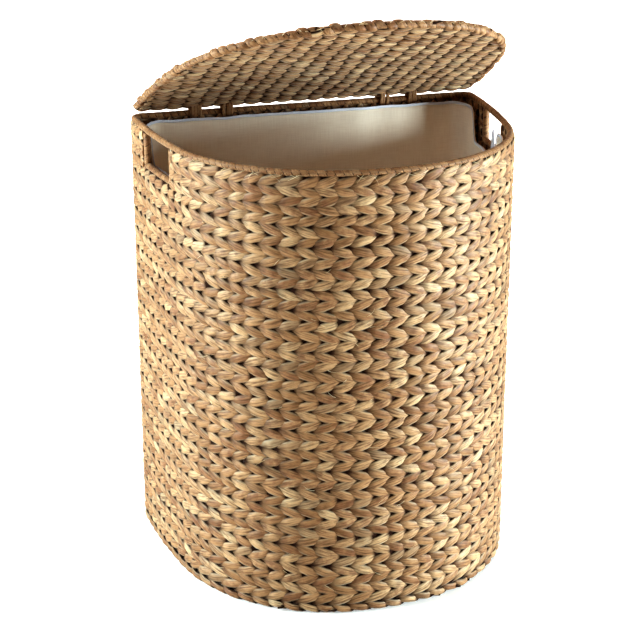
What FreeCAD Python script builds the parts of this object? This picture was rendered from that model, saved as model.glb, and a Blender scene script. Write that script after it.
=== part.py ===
import FreeCAD, Part

import math
import os

# Half-moon laundry basket: twined plant-fibre rope over a wire frame, a cotton liner bag,
# and a woven lid tied to the back rim. Millimetres; the flat back faces +Y, the floor is z = 0,
# and the origin is on the floor in the middle of the plan.

V = FreeCAD.Vector

# --- driving dimensions -------------------------------------------------------------------
WIDTH = 508.0            # across the widest part of the plan
DEPTH = 384.0            # flat back to the front of the curve
HEIGHT = 610.0           # floor to the top of the rim

FRONT_RADIUS = 336.0     # the gentle nose of the plan
FRONT_TURN = math.radians(7.5)
SIDE_RADIUS = 1050.0     # the nearly straight sides
SHOULDER_TURN = math.radians(78.5)
CORNER_RADIUS = 18.0     # where the sides meet the back

WALL = 12.0              # thickness of one woven wall
WIRE = 4.0               # frame wire diameter
STAKE = 2.2              # upright and cross wire diameter
STAKE_COUNT = 66         # uprights round the wall
CROSS_PITCH = 23.0       # spacing of the wires in the lid and the bottom
COURSE = 13.75           # height of one twined course
WALL_COURSES = 39        # courses from the bottom border to the hand holes
BORDER_HEIGHT = 16.0     # wound bottom border
RIM_WRAP = 9.0           # diameter of the wound rim
BACK_GAP = 5.0           # open slit under the back rim, where the lid ties pass

HOLE_FRONT = 14.0        # front end of each hand hole, along Y
HOLE_BACK = 102.0        # back end
POST_WRAP = 10.0         # diameter of the wound hand hole posts

BASE_TOP = 12.0          # thickness of the woven bottom, which lies on the floor

LINER = 1.0              # cloth thickness used for the bag
LINER_TOP = 596.0
LINER_DIP = 552.0        # lowest part of the bag's mouth, under the hand holes
HEM = 14.0               # height of the folded hem
TAB_WIDTH = 14.0
TAB_TOP = 592.0
TAB_CLEAR = 0.5          # between the tab and the hem

LID_THICK = 12.0
LID_INSET = 4.0          # the lid's edge lies this far inside the wall's outer face
LID_CLEAR = 0.5          # between the rim and the closed lid
LID_OPEN = 26.0          # degrees the lid stands open at rest
TIE_WIDTH = 16.0
TIE_THICK = 2.0
TIE_CLEAR = 0.5          # between a tie and the rim it turns on
TIE_STAKES = (5, 7)      # ties sit this many uprights away from the middle of the back

# --- heights and places worked out from them ------------------------------------------------
HALF = WALL / 2
RIM_Z = HEIGHT - RIM_WRAP / 2
WEAVE_TOP = HEIGHT - RIM_WRAP
SILL_BASE = BORDER_HEIGHT + WALL_COURSES * COURSE
SILL_Z = SILL_BASE + RIM_WRAP / 2
POST_FRONT = HOLE_FRONT - POST_WRAP / 2
POST_BACK = HOLE_BACK + POST_WRAP / 2
LINER_OUT = WALL + 0.5
HINGE_Y = DEPTH / 2 - HALF
LID_SHIFT = HALF - LID_INSET   # sets the lid's back edge right above the hinge line
LID_BOTTOM = HEIGHT + LID_CLEAR
LID_Z = LID_BOTTOM + LID_THICK / 2
FAR = 2000.0             # longer than anything in the model


# --- the plan outline -------------------------------------------------------------------------
def outline_arcs(inset, corner_shift=0.0):
    """Right half of the plan from the middle of the front to the middle of the back.

    Each entry is (centre x, centre y, radius, start turn, end turn). A turn of 0 looks along +X
    at the front of the plan, and a turn of 90 degrees looks along +Y at the side.
    """
    sin_f, cos_f = math.sin(FRONT_TURN), math.cos(FRONT_TURN)
    sin_s, cos_s = math.sin(SHOULDER_TURN), math.cos(SHOULDER_TURN)
    shoulder = (WIDTH / 2 - FRONT_RADIUS * sin_f - SIDE_RADIUS * (1 - sin_s)) / (sin_s - sin_f)
    front_y = FRONT_RADIUS - DEPTH / 2
    shoulder_x = (FRONT_RADIUS - shoulder) * sin_f
    shoulder_y = front_y - (FRONT_RADIUS - shoulder) * cos_f
    side_x = shoulder_x + (shoulder - SIDE_RADIUS) * sin_s
    side_y = shoulder_y - (shoulder - SIDE_RADIUS) * cos_s
    corner = max(CORNER_RADIUS - inset, 3.0)
    corner_y = DEPTH / 2 - inset - corner - corner_shift
    reach = SIDE_RADIUS - inset - corner
    corner_x = side_x + math.sqrt(reach ** 2 - (corner_y - side_y) ** 2)
    side_turn = math.atan2(corner_x - side_x, side_y - corner_y)
    return [(0.0, front_y, FRONT_RADIUS - inset, 0.0, FRONT_TURN),
            (shoulder_x, shoulder_y, shoulder - inset, FRONT_TURN, SHOULDER_TURN),
            (side_x, side_y, SIDE_RADIUS - inset, SHOULDER_TURN, side_turn),
            (corner_x, corner_y, corner, side_turn, math.pi)]


def outline_edges(inset, z, corner_shift=0.0):
    """Closed run of edges from the middle of the front, right side first."""
    def point(arc, turn, side):
        x, y, radius = arc[0], arc[1], arc[2]
        return V(side * (x + radius * math.sin(turn)), y - radius * math.cos(turn), z)

    def edge(arc, side):
        start, end = (arc[3], arc[4]) if side > 0 else (arc[4], arc[3])
        middle = (start + end) / 2
        return Part.Arc(point(arc, start, side), point(arc, middle, side),
                        point(arc, end, side)).toShape()

    arcs = outline_arcs(inset, corner_shift)
    right = [edge(arc, 1) for arc in arcs]
    left = [edge(arc, -1) for arc in reversed(arcs)]
    last = arcs[-1]
    back_right = point(last, last[4], 1)
    back_left = point(last, last[4], -1)
    back = Part.LineSegment(back_right, back_left).toShape()
    return right + [back] + left


def outline_face(inset, z, corner_shift=0.0):
    return Part.Face(Part.Wire(outline_edges(inset, z, corner_shift)))


def plate(inset, z_low, z_high, corner_shift=0.0):
    return outline_face(inset, z_low, corner_shift).extrude(V(0, 0, z_high - z_low))


def ring(inset_out, inset_in, z_low, z_high):
    return plate(inset_out, z_low, z_high).cut(plate(inset_in, z_low - 1, z_high + 1))


def bar_round(inset, z, diameter, corner_shift=0.0):
    """Round bar bent along the outline."""
    path = Part.Wire(outline_edges(inset, z, corner_shift))
    start = path.OrderedEdges[0].valueAt(path.OrderedEdges[0].FirstParameter)
    section = Part.Wire(Part.makeCircle(diameter / 2, start, V(1, 0, 0)))
    return path.makePipe(Part.Face(section))


def stake_points(inset, count):
    """Points spaced evenly along the outline, none of them on the middle line."""
    edges = outline_edges(inset, 0.0)
    pitch = sum(e.Length for e in edges) / count
    points = []
    for k in range(count):
        along = (k + 0.5) * pitch
        for e in edges:
            if along <= e.Length:
                points.append(e.valueAt(e.getParameterByLength(along)))
                break
            along -= e.Length
    return points, pitch


# --- small shapes -------------------------------------------------------------------------------
def upright(x, y, z_low, z_high, diameter):
    return Part.makeCylinder(diameter / 2, z_high - z_low, V(x, y, z_low))


def slab(x_low, x_high, y_low, y_high, z_low, z_high):
    return Part.makeBox(x_high - x_low, y_high - y_low, z_high - z_low, V(x_low, y_low, z_low))


def mirrored(shape):
    """The left-hand twin of a right-hand piece."""
    return shape.mirror(V(0, 0, 0), V(1, 0, 0))


def cut_all(shape, tools):
    return shape.cut(Part.makeCompound(tools))


def lid_turn(shape):
    """Turn a piece of the lid from closed on the rim to the angle it rests at."""
    turned = shape.copy()
    turned.rotate(V(0, HINGE_Y, RIM_Z), V(-1, 0, 0), LID_OPEN)
    return turned


# --- the wire frame -----------------------------------------------------------------------------
def make_stakes():
    """Uprights of the wall, cut short under the hand holes, left out where a post stands."""
    stakes = []
    points, pitch = stake_points(HALF, STAKE_COUNT)
    for p in points:
        beside = POST_WRAP / 2 + STAKE
        in_hole = abs(p.x) > WIDTH / 4 and POST_FRONT - beside < p.y < POST_BACK + beside
        top = SILL_BASE if in_hole else RIM_Z - WIRE / 2
        stakes.append(upright(p.x, p.y, BORDER_HEIGHT, top, STAKE))
    return stakes, pitch


def side_point(y, inset):
    """Point of the outline's right side at a given Y, on the nearly straight stretch."""
    x_c, y_c, radius = outline_arcs(inset)[2][:3]
    return V(x_c + math.sqrt(radius ** 2 - (y - y_c) ** 2), y, 0)


def side_bar(inset, y_low, y_high, z, diameter):
    """Round bar along the right side between two Y values."""
    x_c, y_c = outline_arcs(inset)[2][:2]
    centre = V(x_c, y_c, z)
    start = side_point(y_low, inset) + V(0, 0, z)
    end = side_point(y_high, inset) + V(0, 0, z)
    along = V(0, 0, 1).cross(start - centre)
    section = Part.Face(Part.Wire(Part.makeCircle(diameter / 2, start, along)))
    turn = math.degrees((start - centre).getAngle(end - centre))
    return section.revolve(centre, V(0, 0, 1), turn)


def make_hole_wire():
    """U of wire that frames the right hand hole: a post, the sill and the other post."""
    sill = side_bar(HALF, POST_FRONT, POST_BACK, SILL_Z, STAKE)
    posts = []
    for y in (POST_FRONT, POST_BACK):
        foot = side_point(y, HALF)
        posts.append(upright(foot.x, foot.y, SILL_BASE, RIM_Z - WIRE / 2, STAKE))
    return sill.fuse(posts)


def make_hole_wraps(wire):
    """Wound fibre on the sill and on the two posts of the right hand hole."""
    posts = []
    for y in (POST_FRONT, POST_BACK):
        foot = side_point(y, HALF)
        posts.append(upright(foot.x, foot.y, SILL_BASE, WEAVE_TOP, POST_WRAP))
    sill = side_bar(HALF, POST_FRONT, POST_BACK, SILL_Z, RIM_WRAP)
    sill = cut_all(sill, posts + [wire])
    return sill, Part.makeCompound([post.cut(wire) for post in posts])


# --- the woven wall -------------------------------------------------------------------------------
def make_upper_bands(stakes):
    """Weave above the sills: one band round the front, one across the back."""
    band = ring(0, WALL, SILL_BASE, WEAVE_TOP)
    front_limit = POST_FRONT - POST_WRAP / 2
    back_limit = POST_BACK + POST_WRAP / 2
    front = band.common(slab(-FAR, FAR, -FAR, front_limit, 0, FAR))
    back = band.common(slab(-FAR, FAR, back_limit, FAR, 0, WEAVE_TOP - BACK_GAP))
    return cut_all(front, stakes), cut_all(back, stakes)


# --- the bottom -------------------------------------------------------------------------------------
def cross_wires(inset, z, corner_shift=0.0):
    """Parallel wires from front to back across a D plate."""
    count = int(WIDTH / 2 / CROSS_PITCH)
    field = plate(inset, z - STAKE, z + STAKE, corner_shift)
    wires = []
    for k in range(-count, count + 1):
        start = V(k * CROSS_PITCH, -DEPTH, z)
        wire = Part.makeCylinder(STAKE / 2, 2 * DEPTH, start, V(0, 1, 0)).common(field)
        if wire.Volume > 1.0:
            wires.append(wire.Solids[0])
    return wires


# --- the liner ----------------------------------------------------------------------------------------
def under_mouth(drop):
    """Everything below the bag's mouth, lowered by drop. The mouth dips under the hand holes."""
    block = slab(-FAR, FAR, -FAR, FAR, -1, LINER_TOP - drop)
    slope = 6.0
    corners = [V(-FAR, HOLE_FRONT - slope - drop / 2, LINER_TOP),
               V(-FAR, HOLE_FRONT - drop / 2, LINER_DIP - drop),
               V(-FAR, HOLE_BACK + drop / 2, LINER_DIP - drop),
               V(-FAR, HOLE_BACK + slope + drop / 2, LINER_TOP)]
    dip = Part.Face(Part.makePolygon(corners + corners[:1])).extrude(V(2 * FAR, 0, 0))
    bridge = slab(-WIDTH / 3, WIDTH / 3, -FAR, FAR, -1, FAR)
    return block.cut(dip.cut(bridge))


def make_liner():
    """Open bag: cloth wall and cloth bottom in one solid."""
    outer = plate(LINER_OUT, BASE_TOP + 0.3, LINER_TOP)
    inner = plate(LINER_OUT + LINER, BASE_TOP + 0.3 + LINER, FAR)
    return outer.cut(inner).common(under_mouth(0.0))


def make_hem():
    band = ring(LINER_OUT + LINER, LINER_OUT + 2 * LINER, LINER_DIP - 3 * HEM, LINER_TOP)
    return band.common(under_mouth(0.0)).cut(under_mouth(HEM))


def make_tab():
    """Cloth tab sewn inside the hem, standing in the front of the right hand hole."""
    foot = side_point(HOLE_FRONT + TAB_WIDTH / 2, LINER_OUT + 2 * LINER + TAB_CLEAR)
    return slab(foot.x - LINER, foot.x, foot.y, foot.y + TAB_WIDTH, LINER_DIP - HEM, TAB_TOP)


# --- the lid ----------------------------------------------------------------------------------------
def make_tie(x):
    """Figure of eight of fibre: one loop round the rim, one round the lid's back edge."""
    def drum(y, z, radius):
        return Part.makeCylinder(radius, TIE_WIDTH, V(x - TIE_WIDTH / 2, y, z), V(1, 0, 0))

    lid_y = HINGE_Y - HALF
    rim_radius = RIM_WRAP / 2 + TIE_CLEAR
    edge_radius = LID_THICK / 2 + 0.3
    around_rim = drum(HINGE_Y, RIM_Z, rim_radius + TIE_THICK)
    around_edge = drum(lid_y, LID_Z, edge_radius + TIE_THICK)
    tie = around_rim.fuse(around_edge)
    tie = tie.cut(drum(HINGE_Y, RIM_Z, rim_radius)).cut(drum(lid_y, LID_Z, edge_radius))
    notch = drum(lid_y, LID_Z, edge_radius + TIE_THICK + 0.3)
    return tie, notch


def make_lid(stake_pitch):
    """All pieces of the lid, made closed on the rim."""
    frame = bar_round(LID_INSET + HALF, LID_Z, WIRE, LID_SHIFT)
    border = bar_round(LID_INSET + HALF, LID_Z, LID_THICK, LID_SHIFT).cut(frame)
    ties = []
    notches = []
    for steps in TIE_STAKES:
        for side in (-1, 1):
            tie, notch = make_tie(side * steps * stake_pitch)
            ties.append(tie)
            notches.append(notch)
    inner = LID_INSET + LID_THICK
    field = plate(inner, LID_BOTTOM + 0.5, LID_BOTTOM + LID_THICK - 0.5, LID_SHIFT)
    ribs = [rib.cut(Part.makeCompound(notches)) for rib in cross_wires(inner, LID_Z, LID_SHIFT)]
    weave = cut_all(field, notches + ribs)
    return frame, border, weave, Part.makeCompound(ribs), ties


# --- build and write ------------------------------------------------------------------------------
def build():
    nodes = {}
    stakes, pitch = make_stakes()
    nodes["rim_wire"] = bar_round(HALF, RIM_Z, WIRE)
    nodes["rim_wrap"] = cut_all(bar_round(HALF, RIM_Z, RIM_WRAP), [nodes["rim_wire"]])
    base_wire = bar_round(HALF, BORDER_HEIGHT / 2, WIRE)
    nodes["base_wire"] = base_wire
    nodes["base_border_wrap"] = ring(0, WALL, 0, BORDER_HEIGHT).cut(base_wire)
    nodes["wall_stakes"] = Part.makeCompound(stakes)
    nodes["lower_wall_weave"] = cut_all(ring(0, WALL, BORDER_HEIGHT, SILL_BASE), stakes)
    front_band, back_band = make_upper_bands(stakes)
    nodes["upper_front_weave"] = front_band
    nodes["upper_back_weave"] = back_band
    wire = make_hole_wire()
    sill_wrap, post_wraps = make_hole_wraps(wire)
    for name, piece in (("hand_hole_wire", wire), ("hand_hole_sill_wrap", sill_wrap),
                        ("hand_hole_post_wraps", post_wraps), ("liner_tab", make_tab())):
        nodes[name + "_right"] = piece
        nodes[name + "_left"] = mirrored(piece)
    base_stakes = cross_wires(WALL, BASE_TOP / 2)
    nodes["base_stakes"] = Part.makeCompound(base_stakes)
    nodes["base_weave"] = cut_all(plate(WALL, 0.0, BASE_TOP), base_stakes)
    nodes["liner_bag"] = make_liner()
    nodes["liner_hem"] = make_hem()
    frame, border, weave, ribs, ties = make_lid(pitch)
    nodes["lid_frame_wire"] = lid_turn(frame)
    nodes["lid_border_wrap"] = lid_turn(border)
    nodes["lid_weave"] = lid_turn(weave)
    nodes["lid_ribs"] = lid_turn(ribs)
    for number, tie in enumerate(ties, start=1):
        nodes["lid_tie_%d" % number] = lid_turn(tie)
    return nodes


os.makedirs("parts", exist_ok=True)
whole = []
for node, shape in build().items():
    shape.exportStep("parts/%s.step" % node)
    whole.append(shape)
    valid = all(solid.isValid() for solid in shape.Solids)
    print("%-28s solids %3d  volume %9.1f cm3  valid %s"
          % (node, len(shape.Solids), shape.Volume / 1000.0, valid))
box = Part.makeCompound(whole).BoundBox
print("box", [round(v, 2) for v in (box.XMin, box.YMin, box.ZMin, box.XMax, box.YMax, box.ZMax)])
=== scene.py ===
import math
import random

import bpy
from mathutils import Matrix, Vector, noise


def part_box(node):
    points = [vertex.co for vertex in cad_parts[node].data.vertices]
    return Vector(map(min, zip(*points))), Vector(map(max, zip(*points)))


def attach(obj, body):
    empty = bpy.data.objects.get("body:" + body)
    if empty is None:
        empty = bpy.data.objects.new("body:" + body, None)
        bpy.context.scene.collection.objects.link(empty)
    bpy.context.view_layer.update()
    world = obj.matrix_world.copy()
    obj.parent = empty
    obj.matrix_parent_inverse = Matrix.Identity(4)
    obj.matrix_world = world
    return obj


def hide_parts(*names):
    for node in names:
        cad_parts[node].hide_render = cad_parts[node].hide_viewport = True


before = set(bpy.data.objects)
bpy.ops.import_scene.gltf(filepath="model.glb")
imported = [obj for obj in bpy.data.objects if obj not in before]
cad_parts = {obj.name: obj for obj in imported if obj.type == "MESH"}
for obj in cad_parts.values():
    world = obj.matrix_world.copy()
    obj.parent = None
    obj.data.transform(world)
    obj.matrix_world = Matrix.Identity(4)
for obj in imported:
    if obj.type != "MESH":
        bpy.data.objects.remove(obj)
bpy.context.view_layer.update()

# %% [markdown]
# # A woven laundry basket with a tied lid
#
# The basket is a half-moon hamper. Rope made of dried water-hyacinth is twined round upright
# wires, course by course, and strips of the same fibre are wound round the wires at every edge.
# A cotton bag hangs inside, and a woven lid is tied to the back of the rim with fibre.
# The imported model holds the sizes, the wires and the lid's hinge. This script gives every piece
# its rope, strip or cloth, and it takes its places from that model.

# %% [markdown]
# ## Camera, light and floor
#
# The camera comes first, because every choice after it is judged through it. A long lens keeps
# the upright sides nearly parallel. The basket stands in a white studio: one large soft light at
# each side rakes across the rope and makes the sides pale, and the front gets less light. A weak
# lamp in front and a broad one above fill in the rest.

# %% Camera
VIEW_TURN = math.radians(-16.7)      # round the upright axis, from the front
VIEW_RISE = math.radians(19.95)
VIEW_DISTANCE = 2.403
LENS = 98.98
SENSOR = 36.0
UP = Vector((0.0, 0.0, 1.0))
view_target = Vector((-0.034, 0.0, 0.350))


def aim(obj, place, target):
    """Put a camera or a light at a place, looking at a target."""
    obj.location = place
    obj.rotation_euler = (Vector(target) - Vector(place)).to_track_quat("-Z", "Y").to_euler()


camera_back = Vector((math.sin(VIEW_TURN) * math.cos(VIEW_RISE),
                      -math.cos(VIEW_TURN) * math.cos(VIEW_RISE),
                      math.sin(VIEW_RISE)))
camera = bpy.data.objects.new("camera", bpy.data.cameras.new("camera"))
camera.data.lens = LENS
camera.data.sensor_width = SENSOR
camera.data.clip_end = 50.0
bpy.context.collection.objects.link(camera)
aim(camera, view_target + camera_back * VIEW_DISTANCE, view_target)
bpy.context.scene.camera = camera
print("camera at", [round(v, 3) for v in camera.location])


# %% Lights
def soft_box(name, place, target, size, watts, colour):
    """A large soft rectangular lamp."""
    data = bpy.data.lights.new(name, "AREA")
    data.shape = "RECTANGLE"
    data.size, data.size_y = size
    data.energy = watts
    data.color = colour
    lamp = bpy.data.objects.new(name, data)
    bpy.context.collection.objects.link(lamp)
    aim(lamp, Vector(place), Vector(target))
    return lamp


COOL = (0.68, 0.89, 1.0)
WARM = (1.0, 0.85, 0.72)
middle = Vector((0.0, 0.0, 0.35))
soft_box("left_light", (-2.4, 0.25, 1.0), middle, (1.3, 2.0), 148.0, COOL)
soft_box("right_light", (1.95, -1.1, 0.35), middle, (1.0, 1.0), 146.0, COOL)
soft_box("front_light", (-1.0, -3.0, 2.2), middle, (1.4, 1.2), 6.0, WARM)
soft_box("top_light", (0.2, 1.0, 3.0), middle, (2.4, 2.0), 66.0, WARM)

# %% [markdown]
# ## Small helpers for node trees
#
# Materials, shader groups and geometry trees are all written with the same few words: add a
# node, fill its inputs, and join it up. The backdrop and the floor are the first to use them.

# %% Node helpers
def srgb(red, green, blue):
    """A colour as seen on a screen, turned into the linear values that nodes use."""
    def linear(c):
        return c / 12.92 if c <= 0.04045 else ((c + 0.055) / 1.055) ** 2.4
    return (linear(red), linear(green), linear(blue), 1.0)


class Nodes:
    """Adds and joins the nodes of one tree."""

    def __init__(self, tree):
        self.tree = tree

    def feed(self, socket, value):
        """Join an output to a socket, or give the socket a value of its own."""
        if isinstance(value, bpy.types.NodeSocket):
            self.tree.links.new(value, socket)
        else:
            socket.default_value = value

    def fill(self, node, values):
        for key, value in values.items():
            self.feed(node.inputs[key], value)

    def add(self, kind, values=None, **settings):
        node = self.tree.nodes.new(kind)
        for key, value in settings.items():
            setattr(node, key, value)
        self.fill(node, values or {})
        return node

    def math(self, operation, first, second=0.0):
        return self.add("ShaderNodeMath", {0: first, 1: second}, operation=operation).outputs[0]

    def plus(self, first, second):
        return self.math("ADD", first, second)

    def minus(self, first, second):
        return self.math("SUBTRACT", first, second)

    def times(self, first, second):
        return self.math("MULTIPLY", first, second)

    def times_plus(self, first, second, third):
        return self.add("ShaderNodeMath", {0: first, 1: second, 2: third},
                        operation="MULTIPLY_ADD").outputs[0]

    def vector(self, operation, first, second=(0, 0, 0)):
        node = self.add("ShaderNodeVectorMath", {0: first}, operation=operation)
        self.feed(node.inputs["Scale" if operation == "SCALE" else 1], second)
        return node.outputs["Value" if operation == "LENGTH" else 0]

    def join(self, x=0.0, y=0.0, z=0.0):
        return self.add("ShaderNodeCombineXYZ", {0: x, 1: y, 2: z}).outputs[0]

    def parts(self, vector):
        """The x, y and z of a vector."""
        return self.add("ShaderNodeSeparateXYZ", {0: vector}).outputs

    def spread(self, value, low, high, new_low=0.0, new_high=1.0):
        """Move a value from one range to another, and stop at its ends."""
        node = self.add("ShaderNodeMapRange", {"Value": value, "From Min": low, "From Max": high,
                                               "To Min": new_low, "To Max": new_high})
        return node.outputs[0]

    def grain(self, place, scale, detail=2.0, roughness=0.5):
        """Soft noise at a place, or at each point's own place where none is given."""
        node = self.add("ShaderNodeTexNoise", {"Scale": scale, "Detail": detail,
                                               "Roughness": roughness})
        if place is not None:
            self.feed(node.inputs["Vector"], place)
        return node.outputs

    def blend(self, share, first, second):
        """A colour between two others."""
        node = self.add("ShaderNodeMix", {"Factor": share, 6: first, 7: second}, data_type="RGBA")
        return node.outputs[2]


def start_material(name):
    """A new material, with the helper for its nodes and its main shader."""
    material = bpy.data.materials.new(name)
    material.use_nodes = True
    return material, Nodes(material.node_tree), material.node_tree.nodes["Principled BSDF"]


# %% The white studio: bright to the eye, dimmer as a lamp
WORLD_SEEN = 2.2
WORLD_GLOW = 0.03
world = bpy.data.worlds.new("studio")
world.use_nodes = True
bpy.context.scene.world = world
studio = Nodes(world.node_tree)
world_sight = studio.add("ShaderNodeLightPath").outputs["Is Camera Ray"]
studio.fill(world.node_tree.nodes["Background"],
            {"Color": (*WARM, 1.0),
             "Strength": studio.spread(world_sight, 0.0, 1.0, WORLD_GLOW, WORLD_SEEN)})
bpy.context.scene.view_settings.view_transform = "Standard"
bpy.context.scene.view_settings.look = "High Contrast"
bpy.context.scene.view_settings.exposure = -0.26

# %% Floor
FLOOR_HALF = 12.0
FLOOR_COLOR = (0.86, 0.79, 0.70, 1.0)
FLOOR_REACH = (0.25, 1.6)     # distances from the middle: close to the basket and far away
FLOOR_SEEN = (0.38, 1.6)      # glow of the floor to the eye at those distances
floor_mesh = bpy.data.meshes.new("floor")
floor_mesh.from_pydata([(-FLOOR_HALF, -FLOOR_HALF, 0), (FLOOR_HALF, -FLOOR_HALF, 0),
                        (FLOOR_HALF, FLOOR_HALF, 0), (-FLOOR_HALF, FLOOR_HALF, 0)],
                       [], [(0, 1, 2, 3)])
floor = bpy.data.objects.new("floor", floor_mesh)
bpy.context.collection.objects.link(floor)
floor_paint, paint, floor_shader = start_material("studio_white")
from_middle = paint.vector("LENGTH", paint.add("ShaderNodeNewGeometry").outputs["Position"])
floor_sight = paint.add("ShaderNodeLightPath").outputs["Is Camera Ray"]
floor_glow = paint.times(paint.spread(from_middle, *FLOOR_REACH, *FLOOR_SEEN), floor_sight)
paint.fill(floor_shader, {"Base Color": FLOOR_COLOR, "Roughness": 0.8,
                          "Emission Color": (1.0, 1.0, 1.0, 1.0), "Emission Strength": floor_glow})
floor_mesh.materials.append(floor_paint)

# %% [markdown]
# ## The plan of the basket
#
# Everything follows one closed line: a gentle nose, two round shoulders, two nearly straight
# sides, two small corners and a flat back. Each stretch is an arc, so a line drawn further in or
# out is the same arcs with another radius. `Plan` walks along it and gives a place and the
# outward direction for any length from the middle of the front.

# %% The plan line
wall_low, wall_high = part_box("lower_wall_weave")
WIDTH = wall_high[0] - wall_low[0]
DEPTH = wall_high[1] - wall_low[1]
NOSE_RADIUS = 0.336
NOSE_TURN = math.radians(7.5)
SIDE_RADIUS = 1.05
SHOULDER_TURN = math.radians(78.5)
CORNER_RADIUS = 0.018
SMALLEST_CORNER = 0.003


class Plan:
    """The half-moon line, a given distance inside the basket's outer face."""

    def __init__(self, inset, back_shift=0.0, corner_radius=CORNER_RADIUS):
        nose_s, nose_c = math.sin(NOSE_TURN), math.cos(NOSE_TURN)
        end_s, end_c = math.sin(SHOULDER_TURN), math.cos(SHOULDER_TURN)
        shoulder = (WIDTH / 2 - NOSE_RADIUS * nose_s - SIDE_RADIUS * (1 - end_s)) / (end_s - nose_s)
        nose_y = NOSE_RADIUS - DEPTH / 2
        shoulder_x = (NOSE_RADIUS - shoulder) * nose_s
        shoulder_y = nose_y - (NOSE_RADIUS - shoulder) * nose_c
        side_x = shoulder_x + (shoulder - SIDE_RADIUS) * end_s
        side_y = shoulder_y - (shoulder - SIDE_RADIUS) * end_c
        corner = max(corner_radius - inset, SMALLEST_CORNER)
        corner_y = DEPTH / 2 - inset - corner - back_shift
        reach = SIDE_RADIUS - inset - corner
        corner_x = side_x + math.sqrt(reach ** 2 - (corner_y - side_y) ** 2)
        side_turn = math.atan2(corner_x - side_x, side_y - corner_y)
        self.arcs = [(0.0, nose_y, NOSE_RADIUS - inset, 0.0, NOSE_TURN),
                     (shoulder_x, shoulder_y, shoulder - inset, NOSE_TURN, SHOULDER_TURN),
                     (side_x, side_y, SIDE_RADIUS - inset, SHOULDER_TURN, side_turn),
                     (corner_x, corner_y, corner, side_turn, math.pi)]
        self.half_back = corner_x
        self.back_y = corner_y + corner
        self.half = sum(r * (b - a) for _, _, r, a, b in self.arcs) + corner_x
        self.length = 2 * self.half

    def at(self, run):
        """Place and outward direction at a length from the middle of the front."""
        run = run % self.length
        side = 1.0
        if run > self.half:
            run = self.length - run
            side = -1.0
        for x, y, radius, start, end in self.arcs:
            if run <= radius * (end - start):
                turn = start + run / radius
                out = Vector((side * math.sin(turn), -math.cos(turn), 0.0))
                return Vector((side * x, y, 0.0)) + out * radius, out
            run -= radius * (end - start)
        return Vector((side * (self.half_back - run), self.back_y, 0.0)), Vector((0.0, 1.0, 0.0))

    def half_width(self, y):
        """Half the width of the plan at a depth y."""
        best = 0.0
        for x, centre, radius, start, end in self.arcs:
            cos_t = (centre - y) / radius
            if abs(cos_t) <= 1.0:
                turn = math.acos(cos_t)
                if start - 1e-6 <= turn <= end + 1e-6:
                    best = max(best, x + radius * math.sin(turn))
        return best

    def run_at(self, y):
        """Length from the middle of the front to a depth y on the right side."""
        run = 0.0
        for x, centre, radius, start, end in self.arcs[:3]:
            cos_t = (centre - y) / radius
            if abs(cos_t) <= 1.0 and start <= math.acos(cos_t) <= end:
                return run + radius * (math.acos(cos_t) - start)
            run += radius * (end - start)
        return run


WALL = 0.012
STAKES = 66
wall_plan = Plan(WALL / 2)
STAKE_PITCH = wall_plan.length / STAKES
print("plan", round(WIDTH, 3), "x", round(DEPTH, 3), "round", round(wall_plan.length, 3),
      "stake pitch", round(STAKE_PITCH, 4))

# %% [markdown]
# ## The twined rope
#
# In twining, two ropes travel together. At every upright one passes in front and the other
# behind, and then they change places with a half turn. Seen from outside, each rope shows as a
# row of fat leaves that lean one way, and each leaf's tip is tucked under its neighbour. The
# next course is twisted the other way, so the leaves of two courses lie like a fishbone.
#
# One rope is then a wave: out and in across the wall, up and down along it. The tree copies
# each path twice for every course and moves the two copies along opposite waves. A rope stays in
# front for most of its wave (the leaf reach), is thick over the upright and thin at the tips, and
# every leaf gets its own size and tone.

# %% Helpers for geometry trees
def add_inputs(tree, inputs, outputs):
    """Name a tree's inputs and outputs: {name: (socket type, first value)}."""
    for name, (kind, value) in inputs.items():
        item = tree.interface.new_socket(name, in_out="INPUT", socket_type=kind)
        if value is not None:
            item.default_value = value
    for name, kind in outputs.items():
        tree.interface.new_socket(name, in_out="OUTPUT", socket_type=kind)


def named(n, name, kind="FLOAT"):
    """An attribute of the path, by its name."""
    return n.add("GeometryNodeInputNamedAttribute", {"Name": name}, data_type=kind).outputs[0]


def stored(n, geometry, values):
    """Keep values on the points of a geometry, each under its name."""
    for name, value in values.items():
        geometry = n.add("GeometryNodeStoreNamedAttribute",
                         {"Geometry": geometry, "Name": name, "Value": value},
                         data_type="FLOAT", domain="POINT").outputs[0]
    return geometry


def chance(n, low, high, identity, seed):
    """A random value that belongs to one leaf or one turn."""
    return n.add("FunctionNodeRandomValue", {2: low, 3: high, 7: identity, 8: seed},
                 data_type="FLOAT").outputs[1]


def moved_by(n, geometry, offset):
    return n.add("GeometryNodeSetPosition", {"Geometry": geometry, "Offset": offset}).outputs[0]


def pushed_out(n, geometry, amount):
    """Move a surface along its own normals."""
    normal = n.add("GeometryNodeInputNormal").outputs[0]
    return moved_by(n, geometry, n.vector("SCALE", normal, amount))


def facing(n, line, out):
    """Turn a line's section so that it looks out of the wall."""
    return n.add("GeometryNodeSetCurveNormal", {0: line, "Normal": out}, mode="FREE").outputs[0]


def unit_ring(n, points):
    """A round section of radius 1, and the place of each of its points."""
    ring = n.add("GeometryNodeCurvePrimitiveCircle", {"Resolution": points, "Radius": 1.0}).outputs[0]
    return ring, n.parts(n.add("GeometryNodeInputPosition").outputs[0])


def swept(n, line, ring, half_out, half_up):
    """Make the section an oval and draw it along the line."""
    oval = n.add("GeometryNodeTransform", {"Geometry": ring,
                                           "Scale": n.join(half_out, half_up, 1.0)}).outputs[0]
    return n.add("GeometryNodeCurveToMesh", {"Curve": line, "Profile Curve": oval,
                                             "Fill Caps": True}).outputs[0]


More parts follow.
